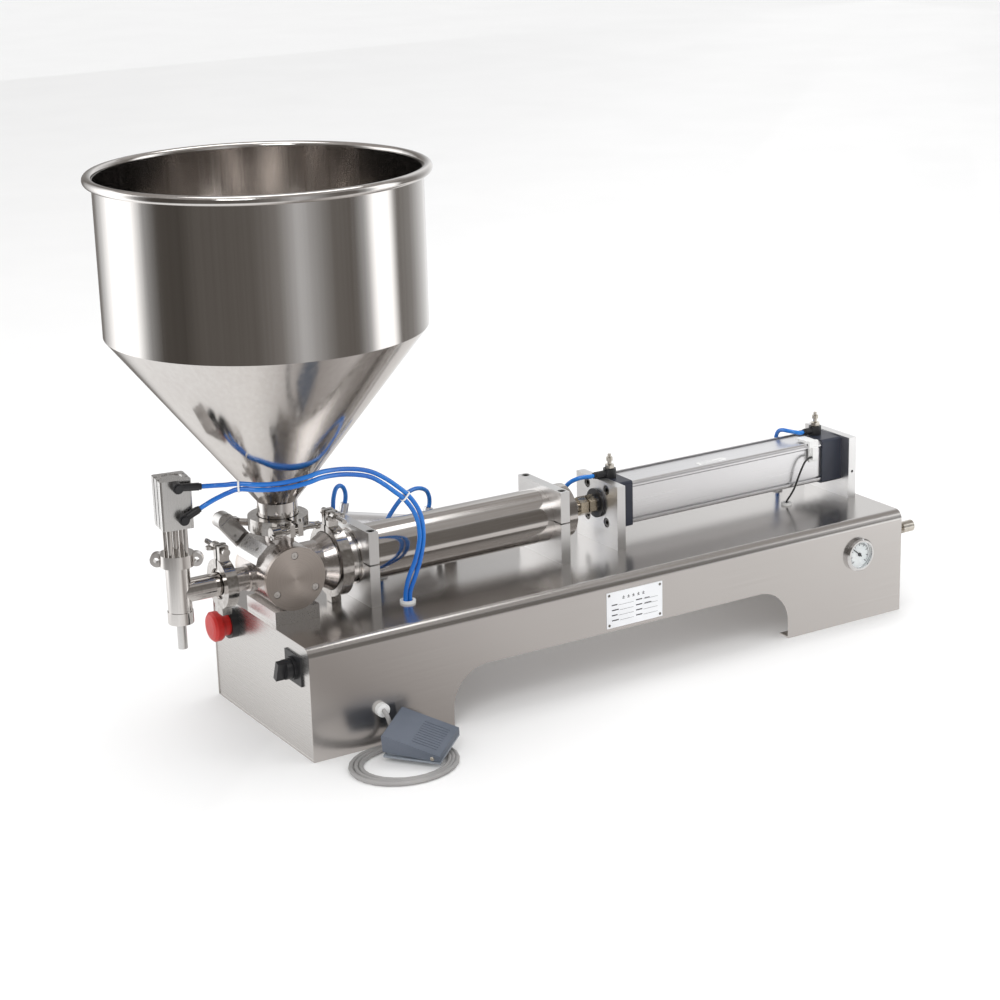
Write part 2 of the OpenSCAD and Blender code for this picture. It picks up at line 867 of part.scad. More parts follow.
module air_end_caps()
{
    color("midnightblue") for (i = [0, 1])
    {
        c = i == 0 ? cap_front : cap_rear;
        port = i == 0 ? wx(542) : wx(903);
        difference()
        {
            translate([c[0], 0, axis_z]) along_x(c[1] - c[0]) rounded_square(cap_w, 4);
            if (i == 0) translate([0, 0, axis_z])
            {
                cyl_x(15, c[0] - cut, c[0] + 12);
                cyl_x(rod_r + 1, c[0], c[1] + cut);
            }
            for (a = [-1, 1]) for (b = [-1, 1]) translate([0, a * air_screw, axis_z + b * air_screw])
                cyl_x(4, i == 0 ? c[0] - cut : c[1] - 11, i == 0 ? c[0] + 11 : c[1] + cut);
            translate([port, 0, axis_z + cap_w / 2 - 8]) cylinder(r = 4.5, h = 12);
        }
    }
}
module air_barrel()
{
    w = 61;
    rail = 9;
    color("gainsboro") translate([cap_front[1], 0, axis_z]) along_x(cap_rear[0] - cap_front[1])
        difference()
    {
        rounded_square(w, 5);
        for (a = [0, 90, 180, 270]) rotate(a)
        {
            translate([-w / 2 + rail, w / 2 - 2.2]) square([w - 2 * rail, 6]);
            translate([-w / 2 + rail - 2.2, w / 2 - 4.5]) square([2.2, 8]);
            translate([w / 2 - rail, w / 2 - 4.5]) square([2.2, 8]);
        }
        circle(air_bore_r);
    }
}
// banjo body: ring about local Z at the origin, sleeve along local +X
module banjo(ring_r, ring_t, bore, sleeve)
{
    difference()
    {
        union()
        {
            cylinder(r = ring_r, h = ring_t);
            translate([0, 0, ring_t / 2]) cyl_x(4.9, 0, sleeve - 3);
            translate([0, 0, ring_t / 2]) cyl_x(4.2, sleeve - 3, sleeve);
        }
        if (bore > 0) translate([0, 0, -cut]) cylinder(r = bore, h = ring_t + 2 * cut);
    }
    if (bore == 0) translate([0, 0, ring_t]) cylinder(r = 4.5, h = 2.5);
}
module push_in_fittings()
{
    cap_top = axis_z + cap_w / 2;
    color("black")
    {
        translate([wx(542), 0, cap_top]) rotate([0, 0, 180]) banjo(9, 13, 4.5, 27);
        translate([wx(903), 0, cap_top]) rotate([0, 0, 180]) banjo(9, 13, 4.5, 22);
        translate([noz_x, 0, 0]) rotate([0, 0, noz_turn])
        {
            translate([0, -20, 350]) rotate([90, 0, 0]) rotate([0, 0, -5]) banjo(6.8, 12, 0, 30);
            translate([5, -20, 309]) rotate([90, 0, 0]) rotate([0, 0, 26]) banjo(6.8, 12, 0, 24);
        }
    }
}
module speed_screw()
{
    translate([0, 0, -6]) cylinder(r = 4.5 - run_fit, h = 20);
    translate([0, 0, 13.4]) cylinder(r = 7, h = 5, $fn = 6);
    translate([0, 0, 18]) cylinder(r = 3, h = 6);
    translate([0, 0, 24]) cylinder(r = 4.5, h = 5);
    translate([0, 0, 29]) cylinder(r = 2.5, h = 4.5);
}
module speed_screw_front() { color("silver") translate([wx(542), 0, axis_z + cap_w / 2]) speed_screw(); }
module speed_screw_rear() { color("silver") translate([wx(903), 0, axis_z + cap_w / 2]) speed_screw(); }
module cylinder_sensor()
{
    band_w = 16;
    color("white") translate([wx(866), 0, axis_z]) difference()
    {
        union()
        {
            translate([0, -34, 4]) cube([band_w, 5, 31]);
            translate([0, -34, 30.5]) cube([band_w, 32, 3.5]);
            translate([3, -38, 8]) cube([band_w - 6, 5, 18]);
        }
        along_x(band_w + cut) translate([-30.5 + 5, 30.5 - 5]) circle(5.01);
        translate([-cut, -30.5, -40]) cube([band_w + 2 * cut, 40, 70.5]);
    }
}

// ---- tubes and cables --------------------------------------------------------------------------
tube_r6 = 3;
route_upper = [[-78.87, -29.93, 347.37], [-71, -31.04, 346.67], [-62, -34.5, 346.6], [-53, -41, 347.2],
    [-38, -50, 348.3], [-20, -61, 346.5], [0, -67, 345], [20, -71, 345.5], [45, -71, 347],
    [67, -67, 348.5], [98, -58, 344.5], [127, -54, 338], [148, -52, 329.5], [167, -51, 317],
    [182, -51, 304.5], [196, -50, 291.5], [207, -51, 276], [213, -53, 261], [215, -54, 246],
    [214, -56, 231], [211, -57, 216], [206, -58, 200], [198, -59, 182], [190, -59.3, 164],
    [188.7, -59.3, 152], [188.7, -59.3, 143]];
route_lower = [[-82.17, -29.46, 319.59], [-75.05, -30.46, 323.09], [-67, -34, 328], [-59, -39.5, 333],
    [-50, -44.5, 337.5], [-38, -50, 341.2], [-20, -62, 340], [0, -69, 338.5], [20, -73, 338.5],
    [45, -73, 340], [67, -68, 341.5], [97, -60, 338], [125, -56, 331.5], [145, -53, 323.5],
    [162, -52, 311.5], [176, -52, 299.5], [189.5, -51, 287.5], [200.5, -52, 272.5],
    [206, -54, 259], [208, -56, 246], [207, -58, 231], [203, -59, 216], [197, -59.3, 200],
    [188, -59.3, 182], [183, -59.3, 164], [182.2, -59.3, 152], [182.2, -59.3, 143]];
route_front = [[514.9, 0, 246], [508, 0, 246], [501, 2, 246.2], [493, 7, 244], [485, 15, 237.5],
    [481, 25, 224], [481, 33, 206], [484, 38, 188], [486, 40, 170], [486, 40, 143]];
route_rear = [[880.9, 0, 246], [875, 0, 246], [869, 3, 247.5], [863, 11, 248.5], [860.5, 22, 248],
    [861, 32, 243.5], [862, 38.5, 233], [865, 42.5, 215], [868, 44, 195], [870, 44, 170],
    [870, 44, 143]];
route_loop1 = [[171.35, 78, 252], [172.7, 78, 258], [172.5, 77.7, 266], [169, 76, 274], [162, 73, 278.5],
    [154.5, 69.5, 276], [149, 66, 266], [146.5, 64, 252], [146, 63, 236], [146, 63, 215],
    [146, 63, 190], [146, 63, 165], [146, 63, 141]];
route_loop2 = [[298.35, 78, 222.05], [299.8, 78, 228], [299, 77, 237], [294, 74.5, 246.5], [284, 70.5, 253],
    [271, 65.5, 256], [257, 60.5, 254.5], [243, 55.5, 248.5], [230, 51.5, 239], [218, 49, 226],
    [210, 48, 209], [206, 48, 188], [205, 48, 165], [205, 48, 141]];
route_sensor = [[868.8, -36.2, 219], [862, -36.8, 218.5], [855, -37.5, 214.5], [849, -37.5, 205],
    [844, -36, 192], [840, -33.5, 178], [837.5, -28, 166], [836, -21.5, 156], [836, -20, 150],
    [836, -20, 143]];
route_cord_a = [[97, -147, 49.5], [97.3, -152, 47], [98.5, -155.5, 41], [100, -157.5, 33],
    [101, -158.5, 25], [99.5, -159.5, 17.5], [94, -160, 12], [85, -160.5, 9.4]];
route_cord_b = [[139.9, -171.7, 25.4], [143.5, -168.9, 26.2], [147.3, -165.9, 26.9],
    [152, -163.6, 26], [157.5, -162.9, 23.2], [163.7, -164.9, 19.5], [168.5, -169.8, 16],
    [170.3, -177, 13], [167, -186, 10.5], [160.5, -194, 9.5], [157, -203, 9.4]];
function placed(p) = [for (q = p) [wx(q[0]), q[1], q[2]]];
module air_tubes()
{
    color("dodgerblue")
    {
        for (p = [route_upper, route_lower, route_front, route_rear]) tube(placed(p), tube_r6, 8);
    }
}
module actuator_tubes()
{
    color("dodgerblue") for (p = [route_loop1, route_loop2]) tube(placed(p), tube_r6, 8);
}
module sensor_cable() { color("black") tube(placed(route_sensor), 1.5, 8); }
module air_valve_bank()
{
    color("silver") translate([wx(300), -20, base_h - sheet_t - 22])
    {
        cube([110, 40, 22]);
        for (i = [0 : 1 : 2]) translate([6 + 35 * i, -34, -12]) cube([28, 108, 12]);
    }
}

// ---- foot pedal ----------------------------------------------------------------------------------
module pedal_frame()
{
    translate(ped_o) rotate([0, 0, ped_turn]) rotate([ped_tilt, 0, 0]) children();
}
module pedal_base()
{
    floor_t = 2.5;
    in_wall = 4;
    wall_h = 9;
    wall_l = 52;
    color("slategray") pedal_frame()
    {
        cube([ped_a, ped_b, floor_t]);
        translate([0, 0, floor_t - eps]) difference()
        {
            translate([in_wall, in_wall, 0]) cube([wall_l, ped_b - 2 * in_wall, wall_h]);
            translate([in_wall + 2, in_wall + 2, -cut])
                cube([wall_l - 4, ped_b - 2 * in_wall - 4, wall_h + 2 * cut]);
        }
        for (y = [5, ped_b - 8.5]) translate([ped_pin_u - 4, y, floor_t - eps]) cube([8, 3.5, 5.5]);
        translate([ped_pin_u, 0, ped_pin_w]) cyl_y(1.5, 4, ped_b - 4);
    }
}
module pedal_treadle()
{
    skin = 2.4;
    slope = (ped_back_h - ped_toe_h) / ped_a;
    skirt = 3.6;
    ear_t = 4;
    rib = 5;
    color("slategray") pedal_frame() difference()
    {
        translate([0, ped_b, 0]) rotate([90, 0, 0]) linear_extrude(ped_b)
            polygon([[0, 8], [58, skirt], [ped_a, skirt], [ped_a, ped_toe_h],
                [ped_a - 2, ped_toe_h + 0.5], [2, ped_back_h - 0.5], [0, ped_back_h - 2]]);
        difference()
        {
            translate([skin, ped_b - skin, 0]) rotate([90, 0, 0]) linear_extrude(ped_b - 2 * skin)
                polygon([[0, -1], [ped_a - 2 * skin, -1], [ped_a - 2 * skin, ped_toe_h - skin],
                    [0, ped_back_h - skin - 1.5]]);
            for (y = [9.5, ped_b - 9.5 - ear_t]) translate([ped_pin_u - 3, y, 3])
                cube([6, ear_t, ped_toe_h]);
        }
        translate([ped_pin_u, 0, ped_pin_w]) cyl_y(1.5 + run_fit, 3.5, ped_b - 3.5);
        translate([25, ped_b - 2 * skin, -cut]) cube([10, 4 * skin, 18]);
        for (i = [0 : 1 : 9]) translate([36, 10 + rib * i, ped_back_h - 36 * slope - 0.6])
            rotate([0, atan(slope), 0]) cube([34, 1.2, 3]);
    }
}
module pedal_cord()
{
    color("lightgray") for (p = [route_cord_a, route_cord_b]) tube(placed(p), cord_r, 8);
}
// two circles a short way apart, bridged
module coil_lobes(r, h)
{
    lobe_gap = 18;
    for (x = [-lobe_gap, 0]) translate([x, 0, 0]) cylinder(r = r, h = h);
    translate([-lobe_gap, -r + 0.6, 0]) cube([lobe_gap, 2 * r - 1.2, h]);
}
module pedal_cord_coil()
{
    color("lightgray") translate([coil_c[0], coil_c[1], 0]) difference()
    {
        coil_lobes(coil_r1, 2 * cord_r + 0.2);
        translate([0, 0, -cut]) coil_lobes(coil_r0, 4 * cord_r);
    }
}

base_shell();
end_panels();
nameplate();
gauge_case();
gauge_needle();
gauge_lens();
estop_collar();
estop_button();
selector_plate();
selector_knob();
air_inlet();
grommets();
valve_pedestal();
valve_body();
valve_cover();
valve_rear_plate();
valve_spool();
valve_crank();
stop_bracket();
actuator_cylinder();
actuator_rod();
actuator_bracket();
nozzle_tee();
nozzle_nut();
nozzle_tip();
nozzle_bonnet();
nozzle_cylinder();
nozzle_needle();
hopper();
hopper_clamp();
outlet_clamp();
cylinder_clamp();
hopper_clamp_nut();
outlet_wing_nut();
cylinder_wing_nut();
clamp_gaskets();
material_cylinder();
split_block_bases();
split_block_caps();
socket_screws();
material_piston();
rod_nuts();
piston_rod();
air_piston();
rod_gland();
air_end_plates();
air_end_caps();
air_barrel();
push_in_fittings();
speed_screw_front();
speed_screw_rear();
cylinder_sensor();
air_tubes();
actuator_tubes();
sensor_cable();
air_valve_bank();
pedal_base();
pedal_treadle();
pedal_cord();
pedal_cord_coil();
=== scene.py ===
# Piston liquid filler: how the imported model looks. Metres, the model's own frame.
import math

import bmesh
import bpy
from mathutils import Matrix, Vector


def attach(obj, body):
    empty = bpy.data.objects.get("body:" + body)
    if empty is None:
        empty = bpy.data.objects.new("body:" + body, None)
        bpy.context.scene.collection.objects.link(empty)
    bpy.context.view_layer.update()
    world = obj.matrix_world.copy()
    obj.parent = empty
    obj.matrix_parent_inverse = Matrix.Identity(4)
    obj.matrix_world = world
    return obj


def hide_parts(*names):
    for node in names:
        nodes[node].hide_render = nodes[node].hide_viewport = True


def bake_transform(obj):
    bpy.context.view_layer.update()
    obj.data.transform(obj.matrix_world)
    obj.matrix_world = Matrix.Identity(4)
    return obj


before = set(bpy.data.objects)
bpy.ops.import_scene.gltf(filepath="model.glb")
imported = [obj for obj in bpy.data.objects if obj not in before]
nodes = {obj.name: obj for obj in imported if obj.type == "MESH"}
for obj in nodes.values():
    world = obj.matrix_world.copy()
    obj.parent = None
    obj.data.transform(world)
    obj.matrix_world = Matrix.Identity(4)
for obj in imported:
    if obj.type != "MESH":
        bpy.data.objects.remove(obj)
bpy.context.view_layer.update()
scene = bpy.context.scene
MM = 0.001
AXIS_X = 36           # the hopper's axis is this far from the base's left end, mm
AXIS_Z = 207          # height of the cylinders' and the valve's axis, mm
FRONT_Y = -140        # the base's front face, mm


def mm(p):
    """a point in millimetres from the base's left end, in the model's frame"""
    return Vector(((p[0] - AXIS_X) * MM, p[1] * MM, p[2] * MM))


# ---- camera ------------------------------------------------------------------
CAMERA_AT = (-1.18301, -2.50375, 1.15770)
CAMERA_YAW = math.radians(31.12)
CAMERA_PITCH = math.radians(17.43)
CAMERA_ROLL = math.radians(-1.57)
CAMERA_LENS = 82.32


def make_camera():
    """a long lens in front and to the left, a little above the hopper"""
    level = math.cos(CAMERA_PITCH)
    ahead = Vector((math.sin(CAMERA_YAW) * level, math.cos(CAMERA_YAW) * level, -math.sin(CAMERA_PITCH)))
    right = Vector((math.cos(CAMERA_YAW), -math.sin(CAMERA_YAW), 0))
    up = right.cross(ahead)
    rolled_right = right * math.cos(CAMERA_ROLL) + up * math.sin(CAMERA_ROLL)
    rolled_up = -right * math.sin(CAMERA_ROLL) + up * math.cos(CAMERA_ROLL)
    cam = bpy.data.objects.new("camera", bpy.data.cameras.new("camera"))
    scene.collection.objects.link(cam)
    m = Matrix((rolled_right, rolled_up, -ahead)).transposed().to_4x4()
    m.translation = Vector(CAMERA_AT)
    cam.matrix_world = m
    cam.data.lens = CAMERA_LENS
    cam.data.sensor_width = 36
    cam.data.clip_start = 0.05
    cam.data.clip_end = 60
    scene.camera = cam


make_camera()


# ---- materials -----------------------------------------------------------------
EVEN = (1, 1, 1)


def new_mat(name):
    """an empty material, its node tree and its Principled shader"""
    m = bpy.data.materials.new(name)
    m.use_nodes = True
    t = m.node_tree
    t.nodes.clear()
    out = t.nodes.new("ShaderNodeOutputMaterial")
    b = t.nodes.new("ShaderNodeBsdfPrincipled")
    t.links.new(b.outputs[0], out.inputs[0])
    return m, t, b


def coords(t, scale):
    """object coordinates, scaled"""
    tc = t.nodes.new("ShaderNodeTexCoord")
    mp = t.nodes.new("ShaderNodeMapping")
    mp.inputs["Scale"].default_value = scale
    t.links.new(tc.outputs["Object"], mp.inputs["Vector"])
    return mp.outputs[0]


def noise_tex(t, vec, scale, detail):
    n = t.nodes.new("ShaderNodeTexNoise")
    n.inputs["Scale"].default_value = scale
    n.inputs["Detail"].default_value = detail
    n.inputs["Roughness"].default_value = 0.55
    t.links.new(vec, n.inputs["Vector"])
    return n.outputs["Fac"]


def ramp(t, fac, stops):
    """colour by value: stops are (position, colour) pairs"""
    r = t.nodes.new("ShaderNodeValToRGB")
    el = r.color_ramp.elements
    while len(el) < len(stops):
        el.new(0.5)
    for e, (p, c) in zip(el, stops):
        e.position = p
        e.color = (*c, 1)
    t.links.new(fac, r.inputs[0])
    return r.outputs[0]


def value_map(t, fac, a, b, lo=0.3, hi=0.7):
    """lo..hi stretched to a..b"""
    r = t.nodes.new("ShaderNodeMapRange")
    r.inputs["From Min"].default_value = lo
    r.inputs["From Max"].default_value = hi
    r.inputs["To Min"].default_value = a
    r.inputs["To Max"].default_value = b
    t.links.new(fac, r.inputs["Value"])
    return r.outputs[0]


def add_bump(t, b, fac, strength, distance=0.0002):
    n = t.nodes.new("ShaderNodeBump")
    n.inputs["Strength"].default_value = strength
    n.inputs["Distance"].default_value = distance
    t.links.new(fac, n.inputs["Height"])
    t.links.new(n.outputs[0], b.inputs["Normal"])


def metal(name, light, dark, rough, stretch, fine, broad, spread, bump):
    """metal with a fine grain drawn out by stretch, over a slow broad variation"""
    m, t, b = new_mat(name)
    b.inputs["Metallic"].default_value = 1
    grain = noise_tex(t, coords(t, stretch), fine, 3)
    slow = noise_tex(t, coords(t, EVEN), broad, 3)
    mix = t.nodes.new("ShaderNodeMix")
    mix.inputs["Factor"].default_value = 0.5
    t.links.new(grain, mix.inputs["A"])
    t.links.new(slow, mix.inputs["B"])
    t.links.new(ramp(t, mix.outputs["Result"], [(0.35, dark), (0.65, light)]), b.inputs["Base Color"])
    t.links.new(value_map(t, grain, rough - spread, rough + spread), b.inputs["Roughness"])
    add_bump(t, b, grain, bump)
    return m


def plastic(name, light, dark, rough, fine, coat=0.0, bump=0.05):
    """plastic, paint, rubber or print: a fine grain over a slow change of shade"""
    m, t, b = new_mat(name)
    grain = noise_tex(t, coords(t, EVEN), fine, 4)
    slow = noise_tex(t, coords(t, EVEN), 14, 3)
    t.links.new(ramp(t, slow, [(0.35, dark), (0.65, light)]), b.inputs["Base Color"])
    t.links.new(value_map(t, grain, rough - 0.06, rough + 0.06), b.inputs["Roughness"])
    b.inputs["Coat Weight"].default_value = coat
    add_bump(t, b, grain, bump)
    return m


def socket_screw_mat():
    """dark zinc in the blocks, bright steel in the valve cover"""
    m, t, b = new_mat("screws")
    b.inputs["Metallic"].default_value = 1
    tc = t.nodes.new("ShaderNodeTexCoord")
    sep = t.nodes.new("ShaderNodeSeparateXYZ")
    t.links.new(tc.outputs["Object"], sep.inputs[0])
    grain = noise_tex(t, coords(t, EVEN), 400, 3)
    cover_to_blocks = value_map(t, sep.outputs["X"], 0, 1, 0.04, 0.09)
    t.links.new(ramp(t, cover_to_blocks, [(0.3, (0.74, 0.72, 0.7)), (0.7, (0.16, 0.155, 0.15))]),
                b.inputs["Base Color"])
    t.links.new(value_map(t, grain, 0.16, 0.32), b.inputs["Roughness"])
    add_bump(t, b, grain, 0.04)
    return m


def glass_mat():
    m, t, b = new_mat("lens")
    g = noise_tex(t, coords(t, EVEN), 60, 3)
    b.inputs["Transmission Weight"].default_value = 1
    b.inputs["IOR"].default_value = 1.05
    t.links.new(ramp(t, g, [(0.3, (0.93, 0.96, 0.98)), (0.7, (1, 1, 1))]), b.inputs["Base Color"])
    t.links.new(value_map(t, g, 0.0, 0.03), b.inputs["Roughness"])
    return m


def turned_face_mat():
    """a face turned on a lathe: fine rings about the Y axis, with the highlight they give"""
    m, t, b = new_mat("turned_face")
    b.inputs["Metallic"].default_value = 1
    b.inputs["Roughness"].default_value = 0.3
    b.inputs["Anisotropic"].default_value = 0.75
    tan = t.nodes.new("ShaderNodeTangent")
    tan.direction_type = "RADIAL"
    tan.axis = "Y"
    t.links.new(tan.outputs[0], b.inputs["Tangent"])
    tc = t.nodes.new("ShaderNodeTexCoord")
    mp = t.nodes.new("ShaderNodeMapping")
    mp.inputs["Location"].default_value = (0, 0, -AXIS_Z * MM)
    mp.inputs["Scale"].default_value = (1, 0, 1)
    t.links.new(tc.outputs["Object"], mp.inputs["Vector"])
    r = t.nodes.new("ShaderNodeVectorMath")
    r.operation = "LENGTH"
    t.links.new(mp.outputs[0], r.inputs[0])
    n = t.nodes.new("ShaderNodeTexNoise")
    n.noise_dimensions = "1D"
    n.inputs["Scale"].default_value = 1500
    n.inputs["Detail"].default_value = 3
    t.links.new(r.outputs["Value"], n.inputs["W"])
    t.links.new(ramp(t, n.outputs["Fac"], [(0.3, (0.52, 0.47, 0.43)), (0.7, (0.66, 0.6, 0.56))]),
                b.inputs["Base Color"])
    add_bump(t, b, n.outputs["Fac"], 0.05, 0.0001)
    return m


# each row: name, light shade, dark shade, roughness, stretch of the grain, scale of the grain,
# scale of the slow variation, spread of the roughness, bump
METALS = (
    ("casing", (0.65, 0.63, 0.615), (0.6, 0.58, 0.565), 0.22, (0.003, 1, 1), 1300, 3, 0.03, 0.015),
    ("panel", (0.69, 0.68, 0.67), (0.65, 0.64, 0.63), 0.27, (1, 0.01, 1), 1600, 4, 0.02, 0.006),
    ("turned", (0.62, 0.59, 0.57), (0.54, 0.5, 0.48), 0.22, EVEN, 500, 10, 0.04, 0.02),
    ("steel", (0.68, 0.67, 0.66), (0.58, 0.57, 0.56), 0.2, EVEN, 500, 20, 0.04, 0.01),
    ("plate", (0.82, 0.81, 0.8), (0.74, 0.73, 0.72), 0.3, EVEN, 700, 14, 0.05, 0.03),
    ("cast", (0.68, 0.66, 0.64), (0.5, 0.48, 0.46), 0.15, EVEN, 220, 60, 0.07, 0.12),
    ("polished", (0.72, 0.7, 0.68), (0.62, 0.59, 0.57), 0.12, (1, 1, 0.03), 500, 12, 0.03, 0.01),
    ("polished_x", (0.7, 0.68, 0.66), (0.62, 0.59, 0.57), 0.13, (0.02, 1, 1), 500, 12, 0.03, 0.01),
    ("hopper", (0.7, 0.68, 0.66), (0.64, 0.61, 0.59), 0.12, (1, 1, 0.01), 160, 5, 0.03, 0.006),
    ("chrome", (0.8, 0.8, 0.8), (0.7, 0.7, 0.7), 0.08, EVEN, 200, 20, 0.03, 0.01),
    ("nickel", (0.74, 0.71, 0.65), (0.56, 0.52, 0.46), 0.18, EVEN, 300, 80, 0.06, 0.05),
    ("zinc", (0.62, 0.55, 0.43), (0.42, 0.36, 0.28), 0.24, EVEN, 300, 90, 0.06, 0.05),
    ("alu", (0.88, 0.88, 0.88), (0.8, 0.8, 0.8), 0.34, (1, 0.05, 1), 1400, 14, 0.04, 0.02),
    ("anodised", (0.86, 0.86, 0.875), (0.82, 0.82, 0.835), 0.3, (0.004, 1, 1), 1400, 8, 0.03, 0.003),
    ("anodised_up", (0.8, 0.79, 0.78), (0.7, 0.69, 0.68), 0.26, (1, 1, 0.01), 1400, 20, 0.03, 0.005),
    ("darkscrew", (0.3, 0.28, 0.26), (0.16, 0.15, 0.14), 0.3, EVEN, 300, 90, 0.08, 0.05),
)
# each row: name, light shade, dark shade, roughness, scale of the grain, then clear coat and bump
PLASTICS = (
    ("navy", (0.028, 0.034, 0.055), (0.018, 0.022, 0.038), 0.42, 700, 0.1),
    ("black", (0.02, 0.02, 0.022), (0.011, 0.011, 0.013), 0.38, 600, 0.1),
    ("red", (0.62, 0.014, 0.01), (0.5, 0.01, 0.008), 0.36, 300, 0.1, 0.02),
    ("white", (0.84, 0.84, 0.83), (0.74, 0.74, 0.73), 0.4, 400),
    ("silicone", (0.82, 0.82, 0.8), (0.74, 0.74, 0.72), 0.35, 400),
    ("whiteboard", (0.86, 0.85, 0.81), (0.78, 0.77, 0.73), 0.45, 400),
    ("blue", (0.012, 0.19, 0.62), (0.006, 0.12, 0.5), 0.22, 200, 0.5, 0.01),
    ("cable", (0.03, 0.03, 0.03), (0.018, 0.018, 0.018), 0.5, 400),
    ("cord", (0.36, 0.35, 0.345), (0.29, 0.285, 0.28), 0.45, 500),
    ("pedal", (0.13, 0.15, 0.19), (0.1, 0.12, 0.155), 0.45, 700, 0.1, 0.6),
    ("pedal_plate", (0.3, 0.33, 0.37), (0.24, 0.27, 0.31), 0.4, 900, 0.1, 0.15),
    ("label", (0.82, 0.83, 0.85), (0.76, 0.77, 0.79), 0.4, 900),
    ("dial", (0.86, 0.87, 0.86), (0.8, 0.81, 0.8), 0.5, 600),
    ("ink", (0.03, 0.03, 0.035), (0.02, 0.02, 0.025), 0.5, 900),
    ("greyprint", (0.42, 0.43, 0.45), (0.34, 0.35, 0.37), 0.5, 900),
)
M = {row[0]: metal(*row) for row in METALS}
M.update({row[0]: plastic(*row) for row in PLASTICS})
M["screws"] = socket_screw_mat()
M["lens"] = glass_mat()
M["turned_face"] = turned_face_mat()
NODE_MAT = {
    "base_shell": "casing", "end_panels": "panel", "nameplate": "label", "gauge_case": "chrome",
    "gauge_needle": "black", "gauge_lens": "lens", "estop_collar": "black", "estop_button": "red",
    "selector_plate": "black", "selector_knob": "black", "air_inlet": "nickel", "grommets": "white",
    "valve_pedestal": "plate", "valve_body": "turned", "valve_cover": "turned_face",
    "valve_rear_plate": "turned_face", "valve_spool": "steel", "valve_crank": "steel",
    "stop_bracket": "plate", "actuator_cylinder": "anodised", "actuator_rod": "polished",
    "actuator_bracket": "steel", "nozzle_tee": "polished", "nozzle_nut": "polished",
    "nozzle_tip": "steel", "nozzle_bonnet": "polished", "nozzle_cylinder": "anodised_up",
    "nozzle_needle": "polished", "hopper": "hopper", "hopper_clamp": "cast", "outlet_clamp": "cast",
    "cylinder_clamp": "cast", "hopper_clamp_nut": "cast", "outlet_wing_nut": "cast",
    "cylinder_wing_nut": "cast", "clamp_gaskets": "silicone", "material_cylinder": "polished_x",
    "split_block_bases": "alu", "split_block_caps": "alu", "socket_screws": "screws",
    "material_piston": "whiteboard", "rod_nuts": "zinc", "piston_rod": "polished_x",
    "air_piston": "steel", "rod_gland": "black", "air_end_plates": "alu", "air_end_caps": "navy",
    "air_barrel": "anodised", "push_in_fittings": "black", "speed_screw_front": "nickel",
    "speed_screw_rear": "nickel", "cylinder_sensor": "white", "air_tubes": "blue",
    "actuator_tubes": "blue", "sensor_cable": "cable", "air_valve_bank": "anodised",
    "pedal_base": "pedal_plate", "pedal_treadle": "pedal", "pedal_cord": "cord",
    "pedal_cord_coil": "cord",
}


def smooth(o, angle=30):
    """smooth shading with edges sharper than the angle, in degrees, kept sharp"""
    for p in o.data.polygons:
        p.use_smooth = True
    o.data.set_sharp_from_angle(angle=math.radians(angle))


for name, o in nodes.items():
    o.data.materials.clear()
    o.data.materials.append(M[NODE_MAT[name]])
    smooth(o)


# ---- shapes that the pieces below are made with -------------------------------------
def catmull(pts, n):
    """a smooth curve through the points, n steps between each two"""
    out = []
    for i in range(len(pts) - 1):
        p0, p1, p2, p3 = pts[max(i - 1, 0)], pts[i], pts[i + 1], pts[min(i + 2, len(pts) - 1)]
        for k in range(n):
            t = k / n
            out.append(0.5 * ((2 * p1) + (p2 - p0) * t + (2 * p0 - 5 * p1 + 4 * p2 - p3) * t * t
                              + (3 * p1 - p0 - 3 * p2 + p3) * t ** 3))
    out.append(pts[-1])
    return out


def tube_curve(name, pts, r, mat, body, res=6):
    """a round tube as a curve with closed ends"""
    c = bpy.data.curves.new(name, "CURVE")
    c.dimensions = "3D"
    c.bevel_depth = r
    c.bevel_resolution = res
    c.use_fill_caps = True
    s = c.splines.new("POLY")
    s.points.add(len(pts) - 1)
    for q, p in zip(s.points, pts):
        q.co = (*p, 1)
    s.use_smooth = True
    o = bpy.data.objects.new(name, c)
    scene.collection.objects.link(o)
    c.materials.append(mat)
    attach(o, body)
    return o


def add_mesh(name, bm, mat, body=None, smooth_angle=35):
    """the finished mesh as an object that rides on a body"""
    bmesh.ops.recalc_face_normals(bm, faces=bm.faces)
    me = bpy.data.meshes.new(name)
    bm.to_mesh(me)
    bm.free()
    o = bpy.data.objects.new(name, me)
    scene.collection.objects.link(o)
    me.materials.append(mat)
    smooth(o, smooth_angle)
    if body:
        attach(o, body)
    return o


def bridge(bm, a, b):
    """four-sided faces between two closed rings of as many points"""
    for k in range(len(a)):
        j = (k + 1) % len(a)
        bm.faces.new((a[k], a[j], b[j], b[k]))


def sweep(bm, pts, r, sides=14):
    """a round tube along the points, with closed ends"""
    u = None
    rings = []
    for i, p in enumerate(pts):
        t = (pts[min(i + 1, len(pts) - 1)] - pts[max(i - 1, 0)]).normalized()
        u = u or t.orthogonal()
        u = (u - t * u.dot(t)).normalized()
        v = t.cross(u)
        rings.append([bm.verts.new(p + (u * math.cos(2 * math.pi * k / sides)
                                        + v * math.sin(2 * math.pi * k / sides)) * r)
                      for k in range(sides)])
    for a, b in zip(rings, rings[1:]):
        bridge(bm, a, b)
    bm.faces.new(rings[0])
    bm.faces.new(rings[-1])


